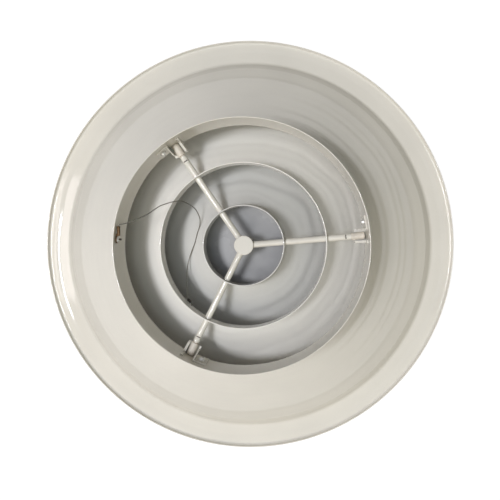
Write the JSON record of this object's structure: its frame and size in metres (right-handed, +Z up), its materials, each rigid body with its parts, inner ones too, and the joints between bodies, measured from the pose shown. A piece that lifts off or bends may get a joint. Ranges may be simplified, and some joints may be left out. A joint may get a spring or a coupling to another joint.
{
  "type": "ceiling air diffuser",
  "caption": "Round multi-cone ceiling air diffuser: a painted outer cone with a duct neck and turned-up rim, and a lift-out core of nested cones on a rod spider, kept by a safety wire.",
  "frame": {"origin": "centre of the face, on the plane of the rim's flat underside", "axes": "+Z up along the neck towards the duct, +X along rod 1"},
  "size_m": [0.474, 0.474, 0.114],
  "materials": {
    "paint": "gloss off-white stove enamel",
    "nylon": "plain beige nylon",
    "rivet": "bright",
    "lug": "dull copper",
    "wire": "dark drawn wire"
  },
  "bodies": {
    "frame": {"outer_cone": "paint", "cradle_1": "paint", "cradle_2": "paint", "cradle_3": "paint", "cradle_rivet_1": "rivet", "cradle_rivet_2": "rivet", "cradle_rivet_3": "rivet", "wire_lug": "lug", "lug_rivet": "rivet"},
    "core": {"middle_cone": "paint", "centre_cone": "paint", "centre_plate": "paint", "spider_hub": "paint", "rod_1": "paint", "rod_2": "paint", "rod_3": "paint", "end_cap_1": "nylon", "end_cap_2": "nylon", "end_cap_3": "nylon", "safety_wire": "wire", "wire_ferrule_inner": "wire", "wire_ferrule_outer": "wire"}
  },
  "joints": [
    {"name": "core_lift", "type": "slide", "parent": "frame", "child": "core", "axis": [0, 0, 1], "range_m": [0, 0.02], "deforming": ["safety_wire"]}
  ]
}
